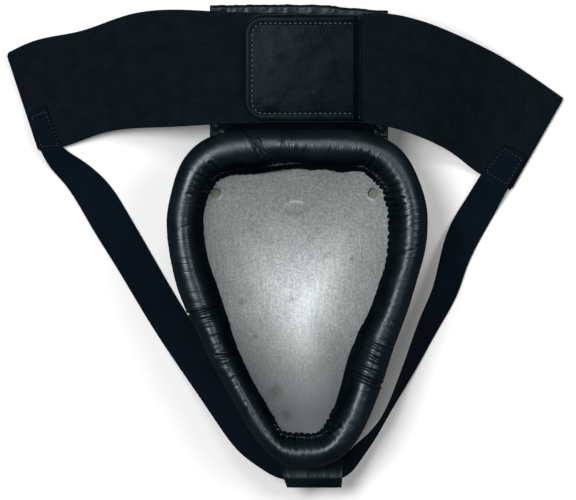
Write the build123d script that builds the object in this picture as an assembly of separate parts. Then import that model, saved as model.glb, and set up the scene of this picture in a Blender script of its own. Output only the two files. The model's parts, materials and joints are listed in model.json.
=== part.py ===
"""Groin protector: a padded steel cup on an elastic waist belt with two leg straps.

The protector lies on the bulge of its cup with the hollow side up, as it is laid out on a table.
Millimetres. +Z is up and +Y points to the waistband. The origin is the centre of the small flat
spot under the cup, on which the protector rests.
"""

import os
from math import cos, radians, sin

from build123d import *

# Cup: the steel bowl, the foam on its front and the leatherette over the foam
EDGE_HEIGHT = 48.0                # height of the rim line above the table
STEEL = 1.5
STEEL_TRIM = 1.6                  # the steel edge is trimmed flat this far below the rim line
FRONT_FOAM = 5.0
FRONT_COVER = 1.2
LAYER_GAP = 0.1                   # glue line between the cup's layers
EDGE_LEAN = 46.0                  # degrees; the slope of the bowl at its edge
FLAT_SHARE = 0.16                 # size of the flat rest spot as a share of the rim line
BOWL_SHARES = (FLAT_SHARE, 0.33, 0.5, 0.67, 0.84, 1.0)
HOLE_DIAMETER = 6.0
HOLES = ((-48.0, 64.0), (46.0, 63.8))
PIP_CENTRE = (0.0, 55.5)          # pressed oval pip above the middle of the cup
PIP_LENGTH = 14.0
PIP_WIDTH = 8.0
PIP_HEIGHT = 0.6

# Rim: the padded roll around the steel edge, clockwise from the middle of its top
RIM_LINE = (
    (5.0, 91.0), (44.0, 87.2), (62.0, 70.5), (67.2, 45.0), (57.5, -2.0), (40.2, -47.3),
    (29.5, -76.0), (8.0, -89.5), (-17.0, -79.5), (-43.6, -31.7), (-59.3, 7.0), (-66.3, 47.0),
    (-58.5, 75.5), (-39.0, 87.8),
)
RIM_RADIUS = 11.0
RIM_COVER = 1.0
SLOT_GAP = 0.15                   # room between the steel and the rim around it

# Waist belt: stations from the left fold to the right fold, each with its upper edge, its lower
# edge, and the heights of the undersides of the front and of the back layer
BELT = 1.8
LEFT_FOLD = ((-174.5, 148.0), (-155.0, 89.0), 0.0, 2.3)
LEFT_HINGE = ((-157.5, 155.8), (-137.7, 92.7), 0.0, 2.3)
RIGHT_HINGE = ((140.0, 135.8), (107.7, 77.5), 0.0, 2.3)
RIGHT_FOLD = ((162.0, 120.5), (130.5, 65.5), 0.0, 2.3)
BELT_LEFT = (
    LEFT_HINGE,
    ((-130.0, 161.5), (-115.0, 100.5), 5.6, 8.0),
    ((-97.0, 172.0), (-86.0, 103.5), 20.0, 22.6),
    ((-72.0, 174.0), (-69.0, 104.0), 32.5, 35.7),
    ((-52.0, 173.0), (-51.5, 105.0), 37.5, 41.3),
)
BELT_RIGHT = (
    ((55.0, 171.5), (54.6, 103.8), 37.5, 41.3),
    ((76.0, 167.0), (71.0, 99.0), 32.5, 35.7),
    ((98.0, 158.5), (85.0, 93.0), 20.0, 22.6),
    ((122.0, 147.0), (97.5, 85.5), 5.6, 8.0),
    RIGHT_HINGE,
)
FOLD_WIDTH = 1.2
HINGE_GAP = 0.4
LEFT_BACK_END = 10.0              # x where the left back layer ends under the tab
RIGHT_BACK_END = 39.6             # x of the sewn end of the right back layer
RIGHT_END_HEIGHT = 45.4           # underside of that end, over the root of the tab
BACK_EDGES = (171.5, 106.0)       # y of the back layer's two edges in the middle

# Waist panel: leatherette around the front layer of the belt
PANEL = 1.2
PANEL_SIDES = (-51.0, 54.5)
PANEL_TOP = 177.0
PANEL_FRONT_START = 94.6
PANEL_LINING_START = 99.5
PANEL_FRONT_HEIGHT = 36.0
PANEL_LINING_HEIGHT = 39.6

# Closure tab with its lining, its hook patch and the loop patch that it closes on
TAB_LEFT = -31.2
TAB_ROOT = 38.2
TAB_EDGES = (170.4, 106.8)        # y of the upper and the lower edge
TAB_CORNER = 8.0
TAB_LEATHER = 1.2
TAB_LINING = 0.8
TAB_HEIGHT = 45.5                 # underside of the lining where the tab lies on the patch
TAB_ROOT_HEIGHT = 43.0            # underside of the lining at the root
PATCH_INSET = 6.0
PATCH_RIGHT = 8.0
PATCH = 1.0

# Leg straps: stations from the sewn end to the sleeve, each with its outer and inner edge
LEG_STRAP = 1.4
STRAP_ON_BELT = 4.5
LEFT_STRAP = (
    ((-161.0, 112.0, STRAP_ON_BELT), (-150.0, 117.5, STRAP_ON_BELT)),
    ((-154.0, 91.0, STRAP_ON_BELT), (-140.5, 92.5, STRAP_ON_BELT)),
    ((-148.0, 80.0, 1.5), (-130.0, 85.0, 1.5)),
    ((-139.0, 69.5, 0.0), (-117.0, 74.5, 0.0)),
    ((-122.5, 43.0, 0.0), (-102.5, 54.5, 0.0)),
    ((-109.5, 22.0, 0.0), (-90.0, 33.0, 0.0)),
    ((-87.5, -14.5, 0.0), (-69.0, -3.0, 0.0)),
    ((-73.0, -36.5, 3.0), (-55.0, -24.5, 4.0)),
    ((-58.5, -57.5, 10.0), (-41.5, -44.5, 11.0)),
    ((-44.5, -78.0, 18.0), (-28.0, -64.5, 19.5)),
    ((-33.0, -92.0, 22.0), (-19.5, -76.5, 25.0)),
    ((-21.5, -100.5, 24.0), (-14.0, -84.5, 28.2)),
    ((-11.5, -106.0, 26.1), (-11.5, -90.0, 30.2)),
    ((1.0, -108.5, 25.4), (1.0, -89.6, 30.3)),
)
RIGHT_STRAP = (
    ((139.0, 86.0, STRAP_ON_BELT), (124.5, 94.0, STRAP_ON_BELT)),
    ((126.5, 65.0, STRAP_ON_BELT), (110.5, 74.5, STRAP_ON_BELT)),
    ((118.5, 50.0, 0.5), (102.5, 61.5, 1.0)),
    ((110.5, 36.0, 0.0), (95.0, 49.5, 0.5)),
    ((102.5, 20.0, 0.0), (88.5, 34.5, 5.0)),
    ((94.5, 0.0, 0.0), (81.0, 6.0, 15.0)),
    ((86.0, -15.0, 0.0), (75.5, -7.0, 17.0)),
    ((74.0, -36.0, 1.0), (65.5, -34.0, 20.5)),
    ((66.0, -49.5, 3.0), (61.0, -45.5, 23.5)),
    ((53.5, -70.5, 8.0), (51.0, -69.5, 29.0)),
    ((45.5, -84.5, 14.0), (41.0, -81.5, 34.0)),
    ((38.0, -95.5, 19.0), (34.5, -87.0, 35.0)),
    ((29.6, -105.5, 26.2), (29.6, -90.5, 30.1)),
    ((16.0, -108.5, 25.4), (16.0, -89.6, 30.3)),
)

# Bottom sleeve: a flat leatherette tunnel under the tip of the cup that holds both straps
SLEEVE_SIDES = (-10.4, 28.4)
SLEEVE_CENTRE = (-100.0, 28.3)    # y and z of the middle of the tunnel
SLEEVE_WIDTH = 25.4
SLEEVE_THICKNESS = 6.4
SLEEVE_WALL = 1.2
SLEEVE_TILT = 14.5                # degrees; the outer side hangs lower
SLEEVE_ROUND = 2.0


def vec(point, z):
    return Vector(point[0], point[1], z)


def loft_quads(quads):
    """A band with flat facets through four-cornered cross sections."""
    return Solid.make_loft([Wire.make_polygon(quad, close=True) for quad in quads], True)


def band(stations, low, high):
    """A flat band with upright cross sections, whose stations are (edge, edge, height)."""
    return loft_quads([
        (vec(a, z + low), vec(b, z + low), vec(b, z + high), vec(a, z + high))
        for a, b, z in stations
    ])


def strap(stations, thickness):
    """A band that may twist: its thickness is laid off square to its own surface."""
    middles = [(Vector(*a) + Vector(*b)) * 0.5 for a, b in stations]
    quads = []
    for i, (a, b) in enumerate(stations):
        run = middles[min(i + 1, len(middles) - 1)] - middles[max(i - 1, 0)]
        normal = run.cross(Vector(*b) - Vector(*a)).normalized() * thickness
        if normal.Z < 0:
            normal = normal * -1
        quads.append((Vector(*a), Vector(*b), Vector(*b) + normal, Vector(*a) + normal))
    return loft_quads(quads)


def front(stations):
    return [(a, b, z) for a, b, z, _ in stations]


def back(stations):
    return [(a, b, z) for a, b, _, z in stations]


def moved_towards(station, other, distance):
    """A flat station shifted along the table towards another one."""
    shifted = []
    for p, q in zip(station[:2], other[:2]):
        step = Vector(q[0] - p[0], q[1] - p[1]).normalized() * distance
        shifted.append((p[0] + step.X, p[1] + step.Y))
    return (shifted[0], shifted[1], station[2], station[3])


# ---- The cup ----

FOAM_START = STEEL + LAYER_GAP
COVER_START = FOAM_START + FRONT_FOAM + LAYER_GAP
COVER_END = COVER_START + FRONT_COVER
RIM_WIDTH = max(p[0] for p in RIM_LINE) - min(p[0] for p in RIM_LINE)
RIM_LENGTH = max(p[1] for p in RIM_LINE) - min(p[1] for p in RIM_LINE)


def drop(offset, share):
    """How far below the steel's inner face a layer lies at a share of the rim line."""
    return offset * cos(radians(EDGE_LEAN * share))


FLAT_DROP = drop(COVER_END, FLAT_SHARE)
BOWL_DEPTH = (EDGE_HEIGHT - FLAT_DROP) / (1 - FLAT_SHARE ** 2)
BOWL_BOTTOM = EDGE_HEIGHT - BOWL_DEPTH


def bowl(offset):
    """The filled bowl, a parabola in section that reaches the rim line, grown by an offset."""
    wires = []
    for share in BOWL_SHARES:
        side = offset * sin(radians(EDGE_LEAN * share))
        grow_x = share + 2 * side / RIM_WIDTH
        grow_y = share + 2 * side / RIM_LENGTH
        height = BOWL_BOTTOM + BOWL_DEPTH * share ** 2 - drop(offset, share)
        points = [Vector(x * grow_x, y * grow_y, height) for x, y in RIM_LINE]
        wires.append(Wire([Edge.make_spline(points, periodic=True)]))
    return Solid.make_loft(wires, False)


def shell(inner, outer):
    """A layer of the cup between two offsets, open at the top."""
    return bowl(outer).cut(bowl(inner))


def upright_prism(face, height):
    """A face of the plan made into a tall prism."""
    return extrude(face, amount=height)


def make_steel_cup():
    """The pressed steel bowl with its raised oval pip and its two punched holes."""
    pip_outline = Pos(*PIP_CENTRE) * Ellipse(PIP_LENGTH / 2, PIP_WIDTH / 2)
    pip = shell(-PIP_HEIGHT, STEEL / 2).intersect(upright_prism(pip_outline, EDGE_HEIGHT))
    trimmed = Pos(0, 0, EDGE_HEIGHT - STEEL_TRIM) * Box(
        3 * RIM_WIDTH, 3 * RIM_LENGTH, 10, align=(Align.CENTER, Align.CENTER, Align.MIN)
    )
    steel = shell(0, STEEL).cut(trimmed).fuse(*pip)
    for x, y in HOLES:
        steel = steel.cut(Solid.make_cylinder(HOLE_DIAMETER / 2, EDGE_HEIGHT, Plane((x, y, 0))))
    return steel


# ---- The rim ----

def rim_tube(radius):
    """The roll around the steel edge, filled. Its seam lies away from the bowl's seam."""
    line_points = RIM_LINE[3:] + RIM_LINE[:3]
    line = Edge.make_spline([vec(p, EDGE_HEIGHT) for p in line_points], periodic=True)
    section = Plane(line @ 0, z_dir=line % 0) * Circle(radius)
    return sweep(section, path=line)


def make_rim():
    """The foam core and its leatherette, both slotted from below for the steel edge."""
    slot = shell(-SLOT_GAP, STEEL + SLOT_GAP)
    foam = rim_tube(RIM_RADIUS - RIM_COVER - LAYER_GAP).cut(slot)
    skin = rim_tube(RIM_RADIUS).cut(rim_tube(RIM_RADIUS - RIM_COVER)).cut(slot)
    return foam, skin


# ---- The waist belt ----

def make_belt_front():
    """The front layer, the fold at each end, and the start of the back layer behind the folds."""
    stations = (LEFT_FOLD,) + BELT_LEFT + BELT_RIGHT + (RIGHT_FOLD,)
    pieces = [band(front(stations), 0, BELT)]
    for fold, hinge in ((LEFT_FOLD, LEFT_HINGE), (RIGHT_FOLD, RIGHT_HINGE)):
        stub = back([fold, moved_towards(hinge, fold, HINGE_GAP)])
        pieces.append(band(stub, 0, BELT))
        turn = front([fold, moved_towards(fold, hinge, FOLD_WIDTH)])
        pieces.append(band(turn, 0, BELT + fold[3]))
    return pieces[0].fuse(*pieces[1:])


def make_belt_left_back():
    """The left back layer, from the hinge line to its end under the tab."""
    stations = back((moved_towards(LEFT_HINGE, BELT_LEFT[1], HINGE_GAP),) + BELT_LEFT[1:])
    height = BELT_LEFT[-1][3]
    end = ((LEFT_BACK_END, BACK_EDGES[0]), (LEFT_BACK_END, BACK_EDGES[1]), height)
    return band(stations + [end], 0, BELT)


def make_belt_right_back():
    """The right back layer, from its end over the root of the tab to the hinge line."""
    end = (
        (RIGHT_BACK_END, BACK_EDGES[0]), (RIGHT_BACK_END, BACK_EDGES[1]), RIGHT_END_HEIGHT,
    )
    last = moved_towards(RIGHT_HINGE, BELT_RIGHT[-2], HINGE_GAP)
    return band([end] + back(BELT_RIGHT[:-1] + (last,)), 0, BELT)


# ---- The waist panel ----

def panel_layer(start, height):
    """A flat leatherette layer from its lower edge to the top of the waistband."""
    left, right = PANEL_SIDES
    outline = Pos((left + right) / 2, (start + PANEL_TOP) / 2) * Rectangle(
        right - left, PANEL_TOP - start
    )
    return Pos(0, 0, height) * extrude(outline, amount=PANEL)


# ---- The closure tab ----

def tab_layer(low, high):
    """A leaf of the tab: flat over the patch, then down to the root, with two round corners."""
    upper, lower = TAB_EDGES
    heights = ((TAB_LEFT, TAB_HEIGHT), (LEFT_BACK_END + 1, TAB_HEIGHT), (TAB_ROOT, TAB_ROOT_HEIGHT))
    leaf = band([((x, upper), (x, lower), z) for x, z in heights], low, high)
    corners = leaf.edges().filter_by(Axis.Z).group_by(Axis.X)[0]
    return leaf.fillet(TAB_CORNER, corners)


def patch(height):
    """One of the two hook-and-loop patches under the tab."""
    left, right = TAB_LEFT + PATCH_INSET, PATCH_RIGHT
    upper, lower = TAB_EDGES[0] - PATCH_INSET, TAB_EDGES[1] + PATCH_INSET
    outline = Pos((left + right) / 2, (upper + lower) / 2) * Rectangle(right - left, upper - lower)
    return Pos(0, 0, height) * extrude(outline, amount=PATCH)


# ---- The bottom sleeve ----

def make_sleeve():
    """A flat tube along X with the two strap ends inside."""
    left, right = SLEEVE_SIDES
    length = right - left
    outer = Box(length, SLEEVE_WIDTH, SLEEVE_THICKNESS)
    outer = fillet(outer.edges().filter_by(Axis.X), SLEEVE_ROUND)
    hollow = Box(
        length + 2, SLEEVE_WIDTH - 2 * SLEEVE_WALL, SLEEVE_THICKNESS - 2 * SLEEVE_WALL
    )
    y, z = SLEEVE_CENTRE
    return Pos((left + right) / 2, y, z) * Rot(SLEEVE_TILT, 0, 0) * (outer - hollow)


# ---- All pieces ----

roll = rim_tube(RIM_RADIUS + SLOT_GAP)
rim_foam_core, rim_cover = make_rim()
parts = {
    "steel_cup": make_steel_cup(),
    "front_foam": shell(FOAM_START, FOAM_START + FRONT_FOAM).cut(roll),
    "front_cover": shell(COVER_START, COVER_END).cut(roll),
    "rim_foam_core": rim_foam_core,
    "rim_cover": rim_cover,
    "waist_panel_front": panel_layer(PANEL_FRONT_START, PANEL_FRONT_HEIGHT),
    "waist_panel_lining": panel_layer(PANEL_LINING_START, PANEL_LINING_HEIGHT),
    "belt_front": make_belt_front(),
    "belt_left_back": make_belt_left_back(),
    "belt_right_back": make_belt_right_back(),
    "loop_patch": patch(BELT_LEFT[-1][3] + BELT),
    "hook_patch": patch(TAB_HEIGHT - PATCH),
    "closure_tab_lining": tab_layer(0, TAB_LINING),
    "closure_tab": tab_layer(TAB_LINING, TAB_LINING + TAB_LEATHER),
    "leg_strap_left": strap(LEFT_STRAP, LEG_STRAP),
    "leg_strap_right": strap(RIGHT_STRAP, LEG_STRAP),
    "bottom_sleeve": make_sleeve(),
}

os.makedirs("parts", exist_ok=True)
for name, solid in parts.items():
    export_step(solid, f"parts/{name}.step")
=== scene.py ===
"""Looks of the groin protector: rolled leatherette rim, steel bowl, elastic belt and leg straps.

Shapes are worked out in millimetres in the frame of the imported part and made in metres.
"""

import json

import bmesh
import bpy
import numpy as np
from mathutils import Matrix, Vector
from mathutils.bvhtree import BVHTree


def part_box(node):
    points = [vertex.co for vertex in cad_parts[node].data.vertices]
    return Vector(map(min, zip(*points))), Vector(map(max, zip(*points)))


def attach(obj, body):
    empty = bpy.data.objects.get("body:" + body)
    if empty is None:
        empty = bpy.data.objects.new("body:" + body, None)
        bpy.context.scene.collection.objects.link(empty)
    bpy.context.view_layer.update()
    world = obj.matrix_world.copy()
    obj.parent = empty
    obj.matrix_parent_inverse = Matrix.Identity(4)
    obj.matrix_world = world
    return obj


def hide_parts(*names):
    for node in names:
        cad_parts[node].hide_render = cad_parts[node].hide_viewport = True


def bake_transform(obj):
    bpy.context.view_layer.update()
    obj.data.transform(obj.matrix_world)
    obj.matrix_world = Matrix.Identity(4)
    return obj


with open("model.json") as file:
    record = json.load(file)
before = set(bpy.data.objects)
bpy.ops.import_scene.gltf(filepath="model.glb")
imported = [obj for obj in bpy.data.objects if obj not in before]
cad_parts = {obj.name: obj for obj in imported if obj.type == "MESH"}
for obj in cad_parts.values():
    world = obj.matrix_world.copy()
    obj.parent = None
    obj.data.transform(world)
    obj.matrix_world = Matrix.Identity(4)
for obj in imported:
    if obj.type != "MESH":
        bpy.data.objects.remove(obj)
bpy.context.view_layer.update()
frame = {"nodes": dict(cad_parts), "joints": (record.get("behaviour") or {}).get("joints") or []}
joints = {joint["name"]: joint for joint in frame["joints"]}
MM = 0.001
UP = np.array((0.0, 0.0, 1.0))


# ---- Curves and noise ----

def smooth(rows, count, closed=False, even_by=slice(None)):
    """Evenly many rows on the cubic spline through the given rows of numbers."""
    rows = np.array(rows, float)
    if closed:
        rows = np.vstack([rows, rows[:1]])
    steps = np.linalg.norm(np.diff(rows[:, even_by], axis=0), axis=1)
    knots = np.concatenate([[0.0], np.cumsum(steps)])
    gaps, last = np.diff(knots), len(rows) - 1
    slopes = np.diff(rows, axis=0) / gaps[:, None]
    matrix, right = np.zeros((last + 1, last + 1)), np.zeros_like(rows)
    for i in range(1, last):
        matrix[i, i - 1:i + 2] = gaps[i - 1], 2 * (gaps[i - 1] + gaps[i]), gaps[i]
        right[i] = 6 * (slopes[i] - slopes[i - 1])
    if closed:
        matrix[0, 0], matrix[0, 1], matrix[0, -2] = 2 * (gaps[-1] + gaps[0]), gaps[0], gaps[-1]
        right[0] = 6 * (slopes[0] - slopes[-1])
        matrix[-1, 0], matrix[-1, -1] = 1, -1
    else:
        matrix[0, 0] = matrix[-1, -1] = 1
    bends = np.linalg.solve(matrix, right)
    at = np.linspace(0, knots[-1], count, endpoint=not closed)
    k = np.clip(np.searchsorted(knots, at, "right") - 1, 0, last - 1)
    gap = gaps[k][:, None]
    a, b = (knots[k + 1] - at)[:, None] / gap, (at - knots[k])[:, None] / gap
    return (a * rows[k] + b * rows[k + 1]
            + ((a ** 3 - a) * bends[k] + (b ** 3 - b) * bends[k + 1]) * gap ** 2 / 6)


def lengths(points, closed=False):
    """Distance along a line at each of its points, with the full length last if it is closed."""
    if closed:
        points = np.vstack([points, points[:1]])
    return np.concatenate([[0.0], np.cumsum(np.linalg.norm(np.diff(points, axis=0), axis=1))])


def lumps(x, y, seed, period=64):
    """Smooth seeded noise from -1 to 1 whose lumps are one unit wide. It repeats in x."""
    table = np.random.default_rng(seed).uniform(-1, 1, (period, 64))
    x, y = np.broadcast_arrays(np.asarray(x, float), np.asarray(y, float))
    i, j = np.floor(x).astype(int), np.floor(y).astype(int)
    a, b = x - i, y - j
    a, b = a * a * (3 - 2 * a), b * b * (3 - 2 * b)
    low = table[i % period, j % 64] * (1 - a) + table[(i + 1) % period, j % 64] * a
    high = table[i % period, (j + 1) % 64] * (1 - a) + table[(i + 1) % period, (j + 1) % 64] * a
    return low * (1 - b) + high * b


def step(x, start, end):
    """0 before start, 1 after end and smooth between."""
    t = np.clip((np.asarray(x, float) - start) / (end - start), 0, 1)
    return t * t * (3 - 2 * t)


def bell(x, middle, width):
    """1 at the middle, falling to about a third one width away."""
    return np.exp(-((np.asarray(x, float) - middle) / width) ** 2)


def unit(vectors):
    """The vectors at length 1."""
    return vectors / np.maximum(np.linalg.norm(vectors, axis=-1, keepdims=True), 1e-9)


def segment_distance(points, a, b):
    """Distance from points of the plan to the segment from a to b, and the share along it."""
    a, b = np.array(a, float), np.array(b, float)
    share = np.clip(((points - a) @ (b - a)) / ((b - a) @ (b - a)), 0, 1)
    return np.linalg.norm(points - a - share[..., None] * (b - a), axis=-1), share


# ---- Meshes ----

def make_mesh(name, points, faces, material, corners=None, weld=0.0):
    """A smooth-shaded object from points in millimetres, with normals outwards."""
    mesh = bpy.data.meshes.new(name)
    mesh.from_pydata((np.asarray(points) * MM).tolist(), [], faces)
    if corners is not None:
        layer = mesh.uv_layers.new(name="UVMap")
        layer.data.foreach_set("uv", (np.asarray(corners) * MM).astype(np.float32).ravel())
    shape = bmesh.new()
    shape.from_mesh(mesh)
    if weld:
        bmesh.ops.remove_doubles(shape, verts=shape.verts, dist=weld * MM)
    bmesh.ops.recalc_face_normals(shape, faces=shape.faces)
    shape.to_mesh(mesh)
    shape.free()
    mesh.polygons.foreach_set("use_smooth", np.ones(len(mesh.polygons), bool))
    mesh.materials.append(material)
    piece = bpy.data.objects.new(name, mesh)
    bpy.context.scene.collection.objects.link(piece)
    return piece


def grid_faces(rows, columns, along, across, loop_rows, loop_columns, first=0):
    """Quads of a grid of points, and the place of each corner on the cloth."""
    i, j = np.meshgrid(
        np.arange(rows if loop_rows else rows - 1),
        np.arange(columns if loop_columns else columns - 1), indexing="ij",
    )
    i, j = i.ravel(), j.ravel()
    quads = [(i, j), (i + 1, j), (i + 1, j + 1), (i, j + 1)]
    faces = np.stack([first + (a % rows) * columns + b % columns for a, b in quads], 1)
    corners = np.stack([np.stack([along[a], across[b]], 1) for a, b in quads], 1)
    return faces.tolist(), corners.reshape(-1, 2)


def grid_mesh(name, grid, material, along, across, loop_rows=False, loop_columns=False,
              caps=False, weld=0.0):
    """A mesh from a grid of points, closed into a tube, a ring or both if asked."""
    rows, columns = grid.shape[:2]
    faces, corners = grid_faces(rows, columns, along, across, loop_rows, loop_columns)
    if caps:
        for row in (0, rows - 1):
            faces.append([row * columns + j for j in range(columns)])
            ends = np.stack([np.full(columns, along[row]), across[:columns]], 1)
            corners = np.vstack([corners, ends])
    return make_mesh(name, grid.reshape(-1, 3), faces, material, corners, weld)


def surface_normals(grid, loop_rows=False, loop_columns=False):
    """Unit normals of a grid of points."""
    def change(values, axis, loop):
        if loop:
            return np.roll(values, -1, axis) - np.roll(values, 1, axis)
        return np.gradient(values, axis=axis)
    return unit(np.cross(change(grid, 0, loop_rows), change(grid, 1, loop_columns)))


def upward(normals, row, column):
    """Normals turned so that the one at a place of the grid points up."""
    return normals if normals[row, column, 2] > 0 else -normals


def ribbon(name, left, right, thickness, material, columns=40, wave=None, up=UP):
    """A band of cloth between two edge lines of its underside, with rounded selvages."""
    left, right = np.asarray(left, float), np.asarray(right, float)
    middle = (left + right) / 2
    side = unit(right - left)
    face = unit(np.cross(np.gradient(middle, axis=0), side))
    if np.median(face @ up) < 0:
        face = -face
    width = np.linalg.norm(right - left, axis=1)
    radius = thickness / 2
    turn = np.radians(np.linspace(-90, 90, 9))
    even = np.linspace(0, 1, columns)
    # each point of the section: its share of the width, its reach past the edge, its height
    section = [(0.0, -radius * np.cos(t), radius * np.sin(t)) for t in turn]
    section += [(s, 0.0, radius) for s in even]
    section += [(1.0, radius * np.cos(t), -radius * np.sin(t)) for t in turn]
    section += [(s, 0.0, -radius) for s in even[::-1]]
    share, reach, height = np.array(section).T
    inner = radius + share[None, :] * (width[:, None] - 2 * radius) + reach[None, :]
    lift = height[None, :] + radius + np.zeros_like(inner)
    along = lengths(middle)
    if wave is not None:
        lift = lift + wave(along[:, None] / along[-1], inner / width[:, None])
    grid = left[:, None] + side[:, None] * inner[..., None] + face[:, None] * lift[..., None]
    across = np.concatenate([share * width.mean() + reach, [0.0]])
    return grid_mesh(name, grid, material, along, across, loop_columns=True, caps=True)


def pillow(name, xs, low_edge, high_edge, rows, depth, top, bottom, material):
    """A pad whose plan is given by its lower and upper edge at each x. The heights of its two
    faces depend on the place and on the distance from the outline, and meet at the outline."""
    xs = np.asarray(xs, float)
    # rows lie a little closer together at both edges
    share = (1 - np.cos(np.linspace(0, np.pi, rows))) / 2
    share = 0.7 * np.linspace(0, 1, rows) + 0.3 * share
    low, high = low_edge(xs), high_edge(xs)
    x = np.repeat(xs[:, None], rows, 1)
    y = low[:, None] + (high - low)[:, None] * share[None]
    inside = depth(x, y)
    edge = np.zeros_like(inside, bool)
    edge[0] = edge[-1] = edge[:, 0] = edge[:, -1] = True
    inside[edge] = 0.0
    upper = np.stack([x, y, top(x, y, inside)], -1)
    lower = np.stack([x, y, np.where(edge, upper[..., 2], bottom(x, y, inside))], -1)
    flat_x, flat_y = xs, low.min() + (high.max() - low.min()) * share
    faces, corners = grid_faces(len(xs), rows, flat_x, flat_y, False, False)
    more, more_corners = grid_faces(len(xs), rows, flat_x, flat_y, False, False, x.size)
    points = np.vstack([upper.reshape(-1, 3), lower.reshape(-1, 3)])
    return make_mesh(name, points, faces + more, material,
                     np.vstack([corners, more_corners]), weld=0.001)


def tube_faces(tube, number):
    """Faces of one of many equal capped tubes whose points follow each other."""
    rows, columns = tube.shape[:2]
    first = number * rows * columns
    quads, _ = grid_faces(rows, columns, np.zeros(rows + 1), np.zeros(columns + 1),
                          False, True, first)
    ends = (first, first + (rows - 1) * columns)
    return quads + [[end + j for j in range(columns)] for end in ends]


def stitches(name, line, pitch, material, length=0.72, radius=0.34, up=UP, sink=0.12):
    """Separate stitches along a line that lies on a surface, each a short arched thread that
    is as long as a share of the pitch."""
    line = np.asarray(line, float)
    at = lengths(line)
    count = max(1, int(at[-1] // pitch))
    starts = (np.arange(count) + 0.5) * at[-1] / count
    up = np.broadcast_to(np.asarray(up, float), line.shape)
    share = np.linspace(-1, 1, 7)
    ring = np.linspace(0, 2 * np.pi, 8, endpoint=False)
    points, faces = [], []

    def along_line(values, where):
        return np.stack([np.interp(where, at, values[:, k]) for k in range(3)], -1)

    for middle in starts:
        where = middle + share * pitch * length / 2
        spine, above = along_line(line, where), unit(along_line(up, where))
        run = unit(np.gradient(spine, axis=0))
        side = unit(np.cross(run, above))
        thick = radius * np.sqrt(np.clip(1.04 - share ** 2, 0.05, 1))
        spine = spine + above * ((radius - sink) * (1 - share ** 4) - sink)[:, None]
        tube = (spine[:, None] + side[:, None] * (thick[:, None] * np.cos(ring))[..., None]
                + above[:, None] * (thick[:, None] * np.sin(ring))[..., None])
        faces += tube_faces(tube, len(points))
        points.append(tube.reshape(-1, 3))
    return make_mesh(name, np.vstack(points), faces, material)


def dress(piece, body, slot, *replaced):
    """Rides a piece on a body and hides the CAD nodes it stands for. Its slot is not used."""
    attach(piece, body)
    if replaced:
        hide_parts(*replaced)
    return piece


# ---- Materials ----

def material(name, color, roughness, metallic=0.0):
    """A new node material: returns it with its tree, shader and a maker of nodes."""
    made = bpy.data.materials.new(name)
    made.use_nodes = True
    tree = made.node_tree
    shader = tree.nodes["Principled BSDF"]
    shader.inputs["Base Color"].default_value = (*color, 1)
    shader.inputs["Roughness"].default_value = roughness
    shader.inputs["Metallic"].default_value = metallic

    def node(kind, links=(), **values):
        new = tree.nodes.new(kind)
        for key, value in values.items():
            if key in new.inputs:
                new.inputs[key].default_value = value
            else:
                setattr(new, key, value)
        for socket, source in links:
            tree.links.new(source, new.inputs[socket])
        return new

    def link(source, socket):
        tree.links.new(source, shader.inputs[socket])

    return made, node, link, shader


def coordinates(node, kind="Object", scale=(1.0, 1.0, 1.0)):
    """Texture coordinates in millimetres, stretched by a scale."""
    source = node("ShaderNodeTexCoord").outputs[kind]
    sized = node("ShaderNodeMapping", [("Vector", source)])
    sized.inputs["Scale"].default_value = [s / MM for s in scale]
    return sized.outputs["Vector"]


def noise(node, vector, size, detail=2.0, roughness=0.5):
    """Noise with features of a size in millimetres."""
    made = node("ShaderNodeTexNoise", [("Vector", vector)], Detail=detail, Roughness=roughness)
    made.inputs["Scale"].default_value = 1 / size
    return made.outputs["Fac"]


def spread(node, value, low, high, from_low=0.3, from_high=0.7):
    """A value carried from one range to another."""
    made = node("ShaderNodeMapRange", [("Value", value)])
    made.inputs["From Min"].default_value = from_low
    made.inputs["From Max"].default_value = from_high
    made.inputs["To Min"].default_value = low
    made.inputs["To Max"].default_value = high
    return made.outputs["Result"]


def between(node, factor, dark, light, how="MIX"):
    """A colour between two, by a factor. Each of the three is a value or a socket."""
    made = node("ShaderNodeMix", data_type="RGBA", blend_type=how)
    for k, value in ((0, factor), (6, dark), (7, light)):
        if isinstance(value, bpy.types.NodeSocket):
            made.id_data.links.new(value, made.inputs[k])
        else:
            made.inputs[k].default_value = (*value, 1) if k else value
    return made.outputs[2]


def calc(node, operation, a, b=None):
    """A Math node on sockets or numbers."""
    made = node("ShaderNodeMath", operation=operation)
    for k, value in enumerate((a, b)):
        if isinstance(value, (int, float)):
            made.inputs[k].default_value = value
        elif value is not None:
            made.id_data.links.new(value, made.inputs[k])
    return made.outputs[0]


def bump(node, height, reach, strength=1.0, after=None):
    """Relief whose height of 1 stands for a reach in millimetres."""
    made = node("ShaderNodeBump", [("Height", height)], Strength=strength, Distance=reach * MM)
    if after is not None:
        made.id_data.links.new(after, made.inputs["Normal"])
    return made.outputs["Normal"]


TEAL_SHEEN = (0.80, 0.93, 1.0)    # tint of the leatherette's reflections


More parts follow.
